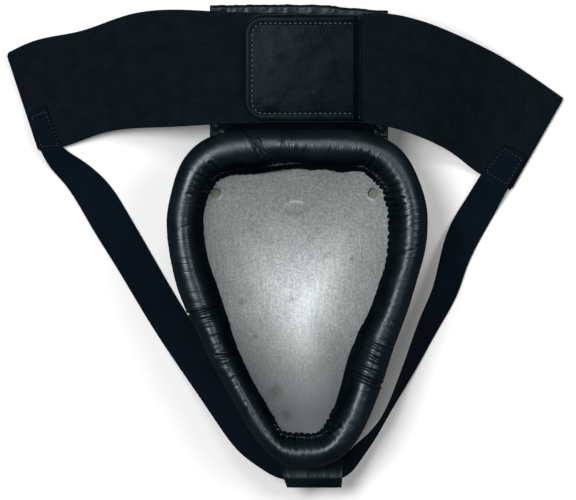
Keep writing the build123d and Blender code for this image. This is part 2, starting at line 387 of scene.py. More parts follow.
def leather(name, dark, light, rough, gloss, grain, ribs=0.0):
    """Leatherette: a pebbled grain, duller worn patches, and fine cross ribs if it is pulled."""
    made, node, link, shader = material(name, dark, rough)
    where = coordinates(node)
    patches = noise(node, where, 17.0, 3.0)
    link(between(node, spread(node, patches, 0, 1), dark, light), "Base Color")
    fine = noise(node, where, 0.9, 2.0)
    worn = calc(node, "ADD", spread(node, patches, -0.07, 0.07), spread(node, fine, -0.05, 0.05))
    link(calc(node, "ADD", worn, rough), "Roughness")
    cells = node("ShaderNodeTexVoronoi", [("Vector", where)], feature="DISTANCE_TO_EDGE",
                 Scale=0.95)
    pebbles = spread(node, cells.outputs["Distance"], 0, 1, 0.0, 0.22)
    normal = bump(node, pebbles, 0.05, grain)
    normal = bump(node, noise(node, where, 0.35, 2.0), 0.03, grain, normal)
    if ribs:
        stretched = coordinates(node, "UV", (1.0, 0.07, 1.0))
        normal = bump(node, noise(node, stretched, 1.1, 2.0, 0.65), 0.22, ribs, normal)
    link(normal, "Normal")
    shader.inputs["Specular IOR Level"].default_value = gloss
    shader.inputs["Specular Tint"].default_value = (*TEAL_SHEEN, 1)
    return made


def elastic(name, dark, light, row, pick, relief, sheen):
    """Woven elastic: rows of staggered picks along the band, with slow shading over them."""
    made, node, link, shader = material(name, dark, 0.75)
    where = node("ShaderNodeSeparateXYZ", [("Vector", coordinates(node, "UV"))])
    slow = noise(node, coordinates(node, "UV"), 2.2, 2.0)
    along = calc(node, "DIVIDE", where.outputs["X"], pick)
    across = calc(node, "DIVIDE", where.outputs["Y"], row)
    stagger = calc(node, "MULTIPLY", calc(node, "FLOOR", across), 0.5)
    wander = calc(node, "MULTIPLY", slow, 0.35)
    turn = calc(node, "ADD", calc(node, "ADD", along, stagger), wander)
    picks = calc(node, "ABSOLUTE", calc(node, "SINE", calc(node, "MULTIPLY", turn, np.pi)))
    cords = calc(node, "ABSOLUTE", calc(node, "SINE", calc(node, "MULTIPLY", across, np.pi)))
    weave = calc(node, "MULTIPLY", picks, cords)
    fuzz = noise(node, coordinates(node, "UV"), 0.25, 3.0)
    mottle = noise(node, coordinates(node, "UV"), 9.0, 3.0)
    shade = calc(node, "MULTIPLY", spread(node, weave, 0.25, 1.0, 0.1, 0.9),
                 spread(node, mottle, 0.6, 1.0))
    shade = calc(node, "MULTIPLY", shade, spread(node, fuzz, 0.7, 1.1))
    link(between(node, shade, dark, light), "Base Color")
    link(bump(node, calc(node, "ADD", weave, calc(node, "MULTIPLY", fuzz, 0.3)), relief), "Normal")
    shader.inputs["Sheen Weight"].default_value = sheen
    shader.inputs["Sheen Roughness"].default_value = 0.45
    shader.inputs["Specular IOR Level"].default_value = 0.05
    return made


# Smoky marks on the steel: x, y, size and strength
STEEL_STAINS = (
    (-31.8, -0.6, 3.2, 0.55), (-12.6, -55.0, 6.5, 0.60), (-6.0, -69.0, 4.5, 0.50),
    (33.6, 24.6, 2.0, 0.60), (-24.0, -22.0, 2.4, 0.40), (-2.0, 0.5, 2.6, 0.40),
    (18.0, 27.0, 3.0, 0.30), (-50.0, 62.0, 9.0, 0.22), (10.0, -40.0, 12.0, 0.12),
    (-42.0, 44.0, 10.0, 0.10),
)
# A highlight painted into the middle of the steel: x, y, half width and half length
STEEL_PAINTED_HIGHLIGHT = (-2.0, 6.0, 43.0, 50.0)
# plain steel tone, and the tone of the highlight painted into the middle
STEEL_DULL, STEEL_HIGHLIGHT_TONE = (0.52, 0.545, 0.535), (0.77, 0.80, 0.805)
STEEL_TIP_SHADE = (-68, -8)        # between these places along the cup the sheet gets darker: painted shade
SMOKE = (0.06, 0.055, 0.05)


def reach_from(node, where, x, y, half_width, half_length):
    """Distance in the plan from a place, as a share of the half axes of an ellipse round it."""
    offset = node("ShaderNodeVectorMath", [(0, where)], operation="SUBTRACT")
    offset.inputs[1].default_value = (x, y, 0)
    flat = node("ShaderNodeVectorMath", [(0, offset.outputs[0])], operation="MULTIPLY")
    flat.inputs[1].default_value = (1 / half_width, 1 / half_length, 0)
    reach = node("ShaderNodeVectorMath", [(0, flat.outputs[0])], operation="LENGTH")
    return reach.outputs["Value"]


def steel_material():
    """Pressed galvanised sheet: fine grain, faint long brushing, smoky stains and small spots.
    A highlight is painted into its colour in the middle of the bowl, and shade towards the tip."""
    made, node, link, _ = material("pressed_steel", (0.4, 0.41, 0.4), 0.6, 0.5)
    where = coordinates(node)
    cloud = noise(node, where, 24.0, 5.0, 0.62)
    spots = noise(node, where, 3.6, 3.0, 0.6)
    grain = noise(node, where, 1.3, 3.0, 0.75)
    brushed = noise(node, coordinates(node, "Object", (1.0, 0.09, 1.0)), 1.4, 2.0)
    dirt = calc(node, "MULTIPLY", spread(node, spots, 0, 1, 0.68, 0.76), 0.25)
    edges = spread(node, spots, 0.35, 1.0, 0.3, 0.6)
    for x, y, size, strength in STEEL_STAINS:
        near = spread(node, reach_from(node, where, x, y, size, size), 1, 0, 0.0, 1.0)
        mark = calc(node, "MULTIPLY", near, edges)
        dirt = calc(node, "MAXIMUM", dirt, calc(node, "MULTIPLY", mark, strength))
    # painted highlight: the middle of the bowl is coloured brighter, with a little random tone
    # everywhere
    painted_highlight = spread(node, reach_from(node, where, *STEEL_PAINTED_HIGHLIGHT), 1, 0, 0.0, 1.0)
    painted_highlight = calc(node, "MULTIPLY", painted_highlight, spread(node, cloud, 0.7, 1.0, 0.34, 0.66))
    painted_highlight = calc(node, "ADD", painted_highlight, spread(node, cloud, 0, 0.12, 0.34, 0.66))
    stained = between(node, dirt, between(node, painted_highlight, STEEL_DULL, STEEL_HIGHLIGHT_TONE), SMOKE)
    grain_and_tip_shade = calc(node, "MULTIPLY", spread(node, grain, 0.4, 1, 0.36, 0.64),
                 spread(node, brushed, 0.75, 1.0, 0.35, 0.65))
    along = node("ShaderNodeSeparateXYZ", [("Vector", where)]).outputs["Y"]
    # painted shade: the sheet's grain and brushing are darkened towards the tip
    grain_and_tip_shade = calc(node, "MULTIPLY", grain_and_tip_shade, spread(node, along, 0.03, 1.0, *STEEL_TIP_SHADE))
    tone = between(node, grain_and_tip_shade, (0.30, 0.31, 0.32), (1, 1, 1))
    link(between(node, 1.0, stained, tone, "MULTIPLY"), "Base Color")
    rough = calc(node, "ADD", spread(node, cloud, 0.58, 0.66), spread(node, grain, -0.05, 0.05))
    link(calc(node, "ADD", rough, calc(node, "MULTIPLY", dirt, 0.2)), "Roughness")
    normal = bump(node, grain, 0.05, 0.5)
    link(bump(node, brushed, 0.05, 0.4, normal), "Normal")
    return made


def foam_material():
    """Pale olive closed-cell foam."""
    made, node, link, _ = material("olive_foam", (0.24, 0.25, 0.19), 0.9)
    where = coordinates(node)
    cells = node("ShaderNodeTexVoronoi", [("Vector", where)], Scale=1.6)
    link(between(node, spread(node, cells.outputs["Distance"], 0, 1, 0.1, 0.6),
                 (0.30, 0.315, 0.245), (0.16, 0.17, 0.12)), "Base Color")
    link(bump(node, cells.outputs["Distance"], -0.3), "Normal")
    return made


def plain_cloth(name, dark, light, size, relief, rough=0.8, sheen=0.3):
    """A small-scale black textile or moulded tape: mottled colour and a bumpy surface."""
    made, node, link, shader = material(name, dark, rough)
    where = coordinates(node)
    nap = noise(node, where, size, 4.0, 0.65)
    link(between(node, spread(node, nap, 0, 1), dark, light), "Base Color")
    link(calc(node, "ADD", spread(node, nap, -0.08, 0.08), rough), "Roughness")
    link(bump(node, nap, relief), "Normal")
    shader.inputs["Sheen Weight"].default_value = sheen
    return made


# Leatherette: dark and light colour, roughness, gloss, depth of the grain and of the ribs
roll_leather = leather("roll_leather", (0.0012, 0.0040, 0.0064), (0.0032, 0.0080, 0.0115),
                       0.37, 0.58, 0.30, 1.0)
flat_leather = leather("flat_leather", (0.0014, 0.0036, 0.0052), (0.0034, 0.0074, 0.0098),
                       0.34, 0.22, 0.55)
tab_leather = leather("tab_leather", (0.0006, 0.0030, 0.0046), (0.0030, 0.0072, 0.0098),
                      0.30, 0.062, 0.8)
sleeve_leather = leather("sleeve_leather", (0.0012, 0.0036, 0.0055), (0.0032, 0.0072, 0.0100),
                         0.33, 0.30, 0.3, 0.2)
# Elastic: dark and light colour, width of a row, length of a pick, relief and sheen
waist_cloth = elastic("waist_cloth", (0.0002, 0.0007, 0.0013), (0.0090, 0.0180, 0.0250),
                      1.35, 1.55, 0.35, 0.004)
leg_cloth = elastic("leg_cloth", (0.0002, 0.0016, 0.0040), (0.0024, 0.0095, 0.0180),
                    0.8, 1.0, 0.08, 0.004)
steel = steel_material()
foam = foam_material()
# Tapes, lining and thread: dark and light colour, size of the nap, relief, roughness and sheen
pile_cloth = plain_cloth("loop_pile", (0.003, 0.004, 0.005), (0.016, 0.018, 0.021),
                         0.5, 0.35, 0.95, 0.1)
hook_plastic = plain_cloth("hook_nylon", (0.008, 0.008, 0.009), (0.02, 0.02, 0.022),
                           1.2, 0.05, 0.5, 0.0)
lining_cloth = plain_cloth("lining_weave", (0.012, 0.017, 0.020), (0.036, 0.046, 0.052),
                           0.35, 0.12, 0.8, 0.0)
dark_thread = plain_cloth("strap_thread", (0.004, 0.009, 0.012), (0.016, 0.025, 0.031),
                          0.3, 0.06, 0.5, 0.0)
thread = plain_cloth("sewing_thread", (0.028, 0.036, 0.042), (0.105, 0.122, 0.132),
                     0.3, 0.06, 0.40, 0.0)


# ---- The steel bowl ----

steel_node = frame["nodes"]["steel_cup"]
steel_surface = BVHTree.FromPolygons(
    [v.co for v in steel_node.data.vertices], [p.vertices for p in steel_node.data.polygons]
)
RAY_START = 0.5                   # metres above the table, where the rays down to it start
steel_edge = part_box("steel_cup")[1].z / MM


def steel_height(x, y):
    """Height of the bowl's inner face at a place of the plan, or of its edge beyond it."""
    hit = steel_surface.ray_cast(Vector((x * MM, y * MM, RAY_START)), Vector((0, 0, -1)))[0]
    return hit.z / MM if hit else steel_edge


# ---- The rolled rim ----

# Outline of the roll and the edge of its leather on the steel, clockwise from the top: x, y, x, y
RIM_STATIONS = (
    (5, 102, 2, 78.6), (36, 101.5, 30, 76.5), (54.6, 96, 40.2, 76.2), (65.4, 87, 46.5, 71.5),
    (73.2, 72.5, 51.5, 65), (78, 56, 55, 52), (78.6, 43, 55.6, 40), (76.8, 28, 54, 25),
    (72, 11, 49.5, 9), (67, -6, 44, -6), (60, -24.6, 37, -19.5), (54.5, -41, 31.5, -34),
    (49.5, -56, 27, -50), (43.5, -71, 23.4, -61.8), (35.5, -85.5, 18.5, -72.6),
    (24, -96.5, 12.5, -79), (9, -100.5, 2, -79.8), (-7, -98.5, -8.4, -77.5),
    (-18, -90.5, -13, -70.5), (-28.5, -77, -19.2, -60.6), (-40.2, -56, -27, -46.8),
    (-51, -36.5, -34.2, -30.6), (-61, -15.5, -40.5, -13), (-68, -1, -44.5, 0),
    (-72.5, 13, -49.5, 15), (-76.2, 32, -54.4, 33), (-77.2, 50, -55, 50), (-74, 67, -52, 63),
    (-68.5, 82, -46.5, 71.5), (-58, 94, -38, 74.5), (-40, 101, -25, 75.5), (-18, 102.3, -10, 78),
)
# Section of the roll from the seam underneath, over the top, to the foot of its inner wall:
# distance from the outline as a share of the width, and height over the rim line
RIM_SECTION = (
    (0.46, -11.3), (0.30, -10.6), (0.125, -7.4), (0.02, -2.6), (0.005, 2.0), (0.09, 6.9),
    (0.24, 10.0), (0.43, 11.0), (0.62, 9.4), (0.77, 4.6), (0.845, -2.0),
)
# The end of that section on the steel: share of the width, and height over the steel
RIM_FOOT = ((0.885, 4.8), (0.94, 2.3), (1.0, 0.9))
RIM_ROWS = 1180
RIM_COLUMNS = 84
LEATHER = 1.0
LEATHER_EDGE = 0.25               # thickness of the leather at its cut edge
FOAM_INSET = 3.4                  # the foam keeps this far inside, clear of the deepest creases
rim_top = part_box("rim_cover")[1].z / MM
rim_line_height = (rim_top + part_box("rim_cover")[0].z / MM) / 2

# Creases pressed into the roll: from, to, width and depth
CREASES = (
    ((-32.8, 103.5), (-20.0, 86.5), 0.55, 1.3), ((-29.8, 102.5), (-17.6, 87.5), 0.5, 0.9),
    ((-24.5, 95), (-22.5, 79.5), 0.6, 0.8), ((-8.6, 102.5), (-8.4, 88), 0.45, 0.8),
    ((-66.5, -8.8), (-43, -3.0), 0.75, 1.3), ((-58, -12), (-44, -9), 0.8, 0.4),
    ((-47.5, -33.2), (-32.5, -32.6), 0.9, 1.0), ((-44, -39), (-31, -36), 0.9, 0.5),
    ((32, -42.5), (53, -51.5), 1.0, 1.3), ((36, -38.5), (52, -44.5), 0.8, 0.6),
    ((44, -25), (55, -30), 0.9, 0.7), ((41, -31), (53, -37.5), 0.9, 0.8),
    ((12, -83), (22, -72.5), 1.0, 0.9), ((18.5, -80), (26, -74), 0.9, 0.7),
    ((-51, 82), (-41, 74), 0.9, 0.8), ((46, 84), (40, 75), 0.9, 0.8),
    ((58, 60), (52, 56), 0.9, 0.7), ((-60, 58), (-52, 55), 0.9, 0.6),
)

# Patches of short wrinkles: middle, reach and depth
WRINKLED_PLACES = (
    ((-52, -18), 15, 0.30), ((44, -32), 16, 0.30), ((-64, 4), 9, 0.15), ((33, -66), 10, 0.16),
    ((-36, -42), 9, 0.22), ((56, 2), 16, 0.10), ((8, 92), 26, 0.06), ((-68, 30), 20, 0.07),
)
# Where the leather is gathered round a tight bend: share of the way round, reach, strength
GATHERS = (
    (0.135, 0.030, 1.0), (0.185, 0.045, 0.75), (0.865, 0.024, 0.6), (0.900, 0.025, 0.45),
    (0.505, 0.045, 0.9), (0.435, 0.018, 0.6), (0.955, 0.016, 0.4), (0.05, 0.05, 0.2),
    (0.60, 0.04, 0.15),
)
PLEATS = 122                      # pleats that the whole way round would take
SHORT_CREASES = 70                # short creases at seeded random places


def gathered(turns):
    """How strongly the leather is gathered at a share of the way round."""
    return np.clip(sum(
        strength * np.exp(-((((turns - c + 0.5) % 1) - 0.5) / w) ** 2) for c, w, strength in GATHERS
    ), 0, 1)


def pleat_wave(turns, v):
    """Rounded pleats with sharp valleys between them, from -1 to 0.6."""
    phase = turns * np.pi * PLEATS + 1.7 * lumps(turns * 40, v * 1.4, 25, 40)
    return 1.6 * np.abs(np.sin(phase)) ** 0.6 - 1.0


def leather_edge_noise(along, total):
    """How far the cut edge of the leather wanders in over the steel."""
    turns = along / total
    ragged = 0.45 * lumps(turns * 60, 0.3, 11, 60) + 0.22 * lumps(turns * 192, 0.7, 12, 192)
    scallops = 0.95 * pleat_wave(turns, 1.0) + 0.5 * lumps(turns * 150, 0.2, 13, 150)
    nibbles = 0.35 * lumps(turns * 300, 0.5, 14, 300)
    return ragged + gathered(turns) * (scallops + nibbles)


def rim_grid(inset, rows, columns, wrinkled):
    """The outer face of the roll as a grid: around the rim by across its section."""
    stations = smooth(RIM_STATIONS, rows, closed=True)
    outer, inner = stations[:, :2], stations[:, 2:]
    along = lengths((outer + inner) / 2, closed=True)
    total, along = along[-1], along[:-1]
    if wrinkled:
        inner = inner + unit(inner - outer) * leather_edge_noise(along, total)[:, None]
    reach = inner - outer
    width = np.linalg.norm(reach, axis=1)
    control = np.zeros((rows, len(RIM_SECTION) + len(RIM_FOOT), 2))
    for k, (share, height) in enumerate(RIM_SECTION):
        control[:, k] = np.stack([share * width, np.full(rows, height)], 1)
    for k, (share, over) in enumerate(RIM_FOOT, len(RIM_SECTION)):
        foot = outer + reach * share
        ground = np.array([steel_height(*p) for p in foot]) - rim_line_height
        control[:, k] = np.stack([share * width, ground + over], 1)
    basis = smooth(np.eye(control.shape[1]), columns)
    section = np.einsum("ck,rkd->rcd", basis, control)
    plan = outer[:, None] + unit(reach)[:, None] * section[..., :1]
    grid = np.concatenate([plan, section[..., 1:] + rim_line_height], -1)
    normals = upward(surface_normals(grid, loop_rows=True), 0, columns // 2)
    return grid - normals * inset, normals, along, total


def rim_relief(grid, along, total):
    """Lumps of the filling, pleats at the corners and the tip, and pressed creases."""
    rows, columns = grid.shape[:2]
    turns, v = along[:, None] / total, np.linspace(0, 1, columns)[None]
    plan = grid[..., :2]
    on_top = step(grid[..., 2], rim_line_height - 9, rim_line_height - 2)
    inner_half = step(v, 0.45, 0.85)
    relief = 0.22 * lumps(turns * 17, v * 2.0, 21, 17) + 0.05 * lumps(turns * 60, v * 4, 22, 60)
    # fine cross ribs, deeper towards the inner wall
    patches = 0.55 + 0.45 * lumps(turns * 31, v * 3, 24, 31)
    ribs = lumps(turns * 300, v * 2.0 + 7, 23, 300) + 0.6 * lumps(turns * 150, v * 1.4, 28, 150)
    relief += ribs * patches * (0.050 + 0.07 * inner_half)
    # pleats that fade out towards the crest
    gather = gathered(turns)
    depth = 0.34 * step(v, 0.60, 0.88) * (1 - 0.7 * step(v, 0.93, 1.0))
    uneven = 0.55 + 0.45 * lumps(turns * 50, v * 3, 30, 50)
    relief += gather * depth * pleat_wave(turns, v) * uneven
    relief += gather * 0.22 * lumps(turns * 230, v * 12, 29, 230) * step(v, 0.62, 0.8)
    for k, (centre, size, deep) in enumerate(WRINKLED_PLACES):
        near = np.exp(-(np.linalg.norm(plan - np.array(centre), axis=-1) / size) ** 2)
        folds = lumps(turns * 240, v * 3.0, 34 + k, 240)
        folds += 0.5 * lumps(turns * 330, v * 5, 44 + k, 330)
        relief += near * on_top * deep * folds
    for start, end, width, depth in CREASES:
        distance, share = segment_distance(plan, start, end)
        fade = 0.35 + 0.65 * np.sin(np.pi * np.clip(share, 0.06, 0.94))
        valley = -depth * np.exp(-(distance / width) ** 2)
        ridge = 0.7 * depth * np.exp(-((distance - 1.9 * width) / width) ** 2)
        relief += (valley + ridge) * fade * on_top
    rng = np.random.default_rng(5)
    for _ in range(SHORT_CREASES):
        row, column = rng.integers(rows), int(columns * rng.uniform(0.42, 0.86))
        centre = plan[row, column]
        run = unit(plan[row, min(column + 6, columns - 1)] - plan[row, column - 6])
        run = run + rng.normal(0, 0.35, 2)
        half, depth = rng.uniform(1.2, 4.5), rng.uniform(0.08, 0.3)
        distance, _ = segment_distance(plan, centre - run * half, centre + run * half)
        relief -= depth * np.exp(-(distance / 0.7) ** 2) * on_top
    seam = bell(v, 0.0, 0.035)
    puckers = 0.3 * lumps(turns * 120, 0.5, 27, 120)
    return relief * (1 - seam) + seam * puckers


def make_rim_cover():
    """The leather of the roll, from the seam underneath to its cut edge on the steel."""
    grid, normals, along, total = rim_grid(0.0, RIM_ROWS, RIM_COLUMNS, True)
    grid = grid + normals * rim_relief(grid, along, total)[..., None]
    normals = upward(surface_normals(grid, loop_rows=True), 0, RIM_COLUMNS // 2)
    # the hidden face of the leather lies a little inside, and thins out at the cut edge
    share = np.linspace(0, 1, RIM_COLUMNS)[::-2]
    thickness = LEATHER_EDGE + (LEATHER - LEATHER_EDGE) * step(share, 1.0, 0.9)
    inside = grid[:, ::-2] - normals[:, ::-2] * thickness[None, :, None]
    skin = np.concatenate([grid, inside], 1)
    around = np.append(along, total)
    across = lengths(skin[0])
    across = np.append(across, across[-1])
    piece = grid_mesh("rim_cover_leather", skin, roll_leather, around, across, True, True)
    return dress(piece, "root", "leatherette", "rim_cover")


def make_rim_foam():
    """The foam roll, well under the leather and clear of the steel."""
    grid, _, along, total = rim_grid(FOAM_INSET, 300, 36, False)
    grid = grid[:, 1:-10]             # without the foot on the steel
    around, across = np.append(along, total), np.append(lengths(grid[0]), 0.0)
    piece = grid_mesh("rim_foam_roll", grid, foam, around, across, True, True)
    return dress(piece, "root", "foam", "rim_foam_core")


# ---- The front of the cup ----

# The line round which the roll is made, clockwise from the middle of its top
RIM_LINE = (
    (5.0, 91.0), (44.0, 87.2), (62.0, 70.5), (67.2, 45.0), (57.5, -2.0), (40.2, -47.3),
    (29.5, -76.0), (8.0, -89.5), (-17.0, -79.5), (-43.6, -31.7), (-59.3, 7.0), (-66.3, 47.0),
    (-58.5, 75.5), (-39.0, 87.8),
)
EDGE_LEAN = 46.0                  # degrees; the slope of the bowl at its edge
FLAT_SHARE = 0.16                 # size of the flat rest spot as a share of the rim line
STEEL = 1.5
FOAM_FACES = (1.7, 6.5)           # distances of the foam pad's two faces from the bowl's inner face
COVER_FACES = (6.8, 7.9)
OUTER_SHARE = 0.955               # where the cover ends at the roll, as a share of the rim line
STEEL_SHARE = 0.985               # where the steel ends inside the roll


def dome(name, faces, material, rows, columns, relief, flat_share=FLAT_SHARE,
         outer_share=OUTER_SHARE, both=False):
    """A bowl-shaped layer between two distances from the steel's inner face. Its relief is laid
    on the outer face, by the way round and the share outwards, or on both, by x and y."""
    line = smooth(RIM_LINE, rows, closed=True)
    width, length = np.ptp(np.array(RIM_LINE), axis=0)
    lean = np.radians(EDGE_LEAN)
    depth = (rim_line_height - COVER_FACES[1] * np.cos(lean * FLAT_SHARE)) / (1 - FLAT_SHARE ** 2)
    bottom = rim_line_height - depth

    def face(offset, shares):
        side = offset * np.sin(lean * shares)
        grow = np.stack([shares + 2 * side / width, shares + 2 * side / length], 1)
        bent = np.maximum(shares, flat_share)
        height = bottom + depth * bent ** 2 - offset * np.cos(lean * bent)
        plan = line[:, None] * grow[None]
        return np.concatenate([plan, np.broadcast_to(height, plan.shape[:2])[..., None]], -1)

    shares = outer_share * np.linspace(0, 1, columns) ** 0.85
    outer = face(faces[1], shares)
    normals = -upward(surface_normals(outer, loop_rows=True), 0, columns // 2)
    along = lengths(line, closed=True)
    inner = face(faces[0], shares)
    if both:
        outer[..., 2] += relief(outer[..., 0], outer[..., 1])
        inner[..., 2] += relief(inner[..., 0], inner[..., 1])
    else:
        lift = relief(along[:-1, None] / along[-1], shares[None] / OUTER_SHARE)
        lift = lift * step(shares, FLAT_SHARE, FLAT_SHARE + 0.1)[None]
        outer = outer + normals * lift[..., None]
    grid = np.concatenate([outer, inner[:, ::-1]], 1)
    across = lengths(grid[0])
    return grid_mesh(name, grid, material, along, np.append(across, across[-1]), True, True,
                     weld=0.0005)


def cover_relief(turns, share):
    """Soft lumps of the padding, and gathers that run in from the seam under the roll."""
    near = step(share, 0.72, 1.0)
    gathers = 0.55 * lumps(turns * 58, share * 1.2, 31, 58)
    gathers = gathers + 0.2 * lumps(turns * 150, share * 2, 32, 150)
    return (0.5 * lumps(turns * 12, share * 4, 33, 12) * (1 - near) + near * gathers
            + 0.7 * bell(share, 0.86, 0.08) - 0.7 * step(share, 0.95, 1.0))


HOLES = ((-48.0, 64.0), (46.0, 63.8))
HOLE_RADIUS = 3.0
HOLE_SINK = 0.55                  # how far the sheet is drawn down round a punched hole
HOLE_SIDES = 40
PIP = (0.0, 55.5, 7.0, 4.0, 0.6)  # pressed oval pip: x, y, half length, half width and height


def pressed_height(x, y):
    """How far the sheet is pressed up by the pip and down round the punched holes."""
    reach = np.hypot((x - PIP[0]) / PIP[2], (y - PIP[1]) / PIP[3])
    height = PIP[4] * step(-reach, -1.12, -0.72)
    for hole_x, hole_y in HOLES:
        height = height - HOLE_SINK * step(-np.hypot(x - hole_x, y - hole_y), -4.6, -HOLE_RADIUS)
    return height


def make_steel():
    """The pressed bowl with its oval pip and two punched holes."""
    bowl = dome("steel_bowl", (0.0, STEEL), steel, 380, 125, pressed_height, 0.0, STEEL_SHARE,
                both=True)
    ring = np.linspace(0, 2 * np.pi, HOLE_SIDES, endpoint=False)
    for x, y in HOLES:
        circle = np.column_stack([x + HOLE_RADIUS * np.cos(ring), y + HOLE_RADIUS * np.sin(ring)])
        tube = np.stack([np.column_stack([circle, np.full(HOLE_SIDES, z)]) for z in (8.0, 70.0)])
        cutter = grid_mesh("hole_cutter", tube, steel, np.zeros(3), np.zeros(HOLE_SIDES + 1),
                           loop_columns=True, caps=True)
        cut = bowl.modifiers.new("hole", "BOOLEAN")
        cut.object, cut.operation, cut.solver = cutter, "DIFFERENCE", "EXACT"
        graph = bpy.context.evaluated_depsgraph_get()
        mesh = bpy.data.meshes.new_from_object(bowl.evaluated_get(graph))
        bowl.modifiers.clear()
        bowl.data = mesh
        bpy.data.objects.remove(cutter)
    bowl.visible_glossy = False       # or its middle, lit and partly a painted highlight, would show in the roll's inner wall
    dress(bowl, "root", "steel", "steel_cup")


def make_front():
    """The leather over the front of the cup and the foam under it."""
    cover = dome("front_cover_leather", COVER_FACES, flat_leather, 550, 90, cover_relief)
    dress(cover, "root", "leatherette", "front_cover")
    pad = dome("front_foam_pad", FOAM_FACES, foam, 240, 50, lambda turns, share: 0 * turns * share)
    dress(pad, "root", "foam", "front_foam")


make_steel()
make_rim_cover()
make_rim_foam()
make_front()


# ---- The waist belt ----

# Places of the belt from the left fold to the right one: x and y of its upper and of its lower
# edge, and the heights of the undersides of its front and of its back layer
LEFT_FOLD = (-174.5, 148.0, -155.0, 89.0, 0.0, 2.3)
BELT_LEFT = (
    (-157.5, 155.8, -137.7, 92.7, 0.0, 2.3), (-130, 161.5, -115, 100.5, 5.6, 8.0),
    (-97, 172, -86, 103.5, 20, 22.6), (-72, 174, -69, 104, 32.5, 35.7),
    (-52, 173, -51.5, 105, 37.5, 41.3),
)
BELT_RIGHT = (
    (55, 171.5, 54.6, 103.8, 37.5, 41.3), (76, 167, 71, 99, 32.5, 35.7),
    (98, 158.5, 85, 93, 20, 22.6), (122, 147, 97.5, 85.5, 5.6, 8.0),
    (140, 135.8, 107.7, 77.5, 0.0, 2.3),
)
RIGHT_FOLD = (162.0, 120.5, 130.5, 65.5, 0.0, 2.3)
BELT_MIDDLE = ((-20, 172, -20, 105, 37.5, 41.3), (24, 172, 24, 104.6, 37.5, 41.3))
BELT = 1.7
BELT_LIFT = 0.05                  # keeps the cloth just off what the part stands on
END_UNDER_TOP = 1.8               # from the top of the right layer's end down to its underside
BACK_TOP, BACK_BOTTOM = 171.5, 106.0    # y of the back layer's two edges in the middle


def belt_lines(stations, height_column, count):
    """The two edges of one layer's underside, with heights that never overshoot."""
    stations = np.array(stations, float)
    plan = smooth(stations[:, :4], count)
    middle = (plan[:, :2] + plan[:, 2:]) / 2
    at = lengths(middle)
    places = [np.argmin(np.linalg.norm(plan - s[:4], axis=1)) for s in stations]
    height = np.interp(at, at[places], stations[:, height_column])
    spacing = at[-1] / (count - 1)
    kernel = np.exp(-(np.arange(-30, 31) * spacing / 7.0) ** 2)
    height = np.convolve(np.pad(height, 30, mode="edge"), kernel / kernel.sum(), mode="valid")
    height = height[:, None] + BELT_LIFT
    return np.hstack([plan[:, :2], height]), np.hstack([plan[:, 2:], height])


BELT_BEND = (0.5, 16.0)           # two distances from the hinge line, passed to across_hinge
FOLD_ROUND = 1.4                  # how far the corners of a fold are worn in
FOLD_START = 0.12                 # share of the way to the hinge line where a fold's turn ends


def with_fold(upper, lower, fold, rise):
    """A back layer's outer face, led round the half turn of its fold from the front layer."""
    upper, lower = upper + UP * BELT, lower + UP * BELT
    radius = rise / 2
    angles = np.radians(np.linspace(-88, 88, 19))
    fold_middle = np.array((fold[0] + fold[2], fold[1] + fold[3], 0)) / 2
    run = unit(fold_middle - (upper[0] + lower[0]) / 2 * (1, 1, 0))
    side = unit(lower[0] - upper[0])
    turned = []
    for edge, inwards in ((upper[0], side), (lower[0], -side)):
        centre = edge - UP * radius
        turned.append(centre + run * (radius * np.cos(angles))[:, None]
                      + UP * (radius * np.sin(angles))[:, None]
                      + inwards * (FOLD_ROUND * np.cos(angles) ** 2)[:, None])
    return np.vstack([turned[0], upper]), np.vstack([turned[1], lower])


def belt_wave(seed):
    """Slow waves of loose elastic, with slightly curling selvages, none at the two ends."""
    def wave(along, across):
        loose = step(along, 0.12, 0.3) * step(-along, -0.72, -0.6)
        curl = 0.45 * np.abs(2 * across - 1) ** 4
        return -loose * (0.35 + 0.35 * lumps(along * 5, across * 1.5, seed) + curl)
    return wave


def make_belt_front():
    """The front layer, from fold to fold."""
    upper, lower = belt_lines(
        (LEFT_FOLD,) + BELT_LEFT + BELT_MIDDLE + BELT_RIGHT + (RIGHT_FOLD,), 4, 420
    )
    keep = slice(2, -2)               # stops just short of the folds of the back layers
    piece = ribbon("belt_front_elastic", upper[keep], lower[keep], BELT, waist_cloth, 60)
    return dress(piece, "root", "waist_elastic", "belt_front")


def across_hinge(piece, body, joint, before, after):
    """Bakes the piece's transform into its mesh. The body and the two distances from the hinge line
    are not used.
    """
    pivot = Vector(joints[joint]["pos_m"])
    away = Vector(joints[joint]["axis"]).cross(Vector((0, 0, 1))).normalized()
    if away.dot(-pivot) < 0:
        away = -away
    away.z = 0
    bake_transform(piece)


def make_belt_back(side, fold, stations, end, seed):
    """The fold and the back layer of one side."""
    first = np.array(fold) + FOLD_START * (np.array(stations[0]) - np.array(fold))
    upper, lower = belt_lines([first, *stations, *end], 5, 230)
    upper, lower = with_fold(upper, lower, fold, fold[5] - fold[4] + BELT)
    piece = ribbon(f"belt_{side}_back_elastic", upper, lower, BELT, waist_cloth, 60,
                   belt_wave(seed), -UP)
    across_hinge(piece, f"{side}_belt_half", f"{side}_belt_opening", *BELT_BEND)
    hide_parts(f"belt_{side}_back")


def make_belt_backs():
    """Both back layers: the left one ends under the tab, the right one over the tab's root."""
    height = BELT_LEFT[-1][5]
    root_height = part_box("belt_right_back")[1].z / MM - END_UNDER_TOP
    left_end = (
        (-20.0, 172.0, -20.0, 105.6, 0, height), (10.0, BACK_TOP, 10.0, BACK_BOTTOM, 0, height),
    )
    right_end = ((39.6, BACK_TOP, 39.6, BACK_BOTTOM, 0, root_height),)
    make_belt_back("left", LEFT_FOLD, BELT_LEFT, left_end, 41)
    make_belt_back("right", RIGHT_FOLD, BELT_RIGHT[::-1], right_end, 42)


# ---- The waist panel ----

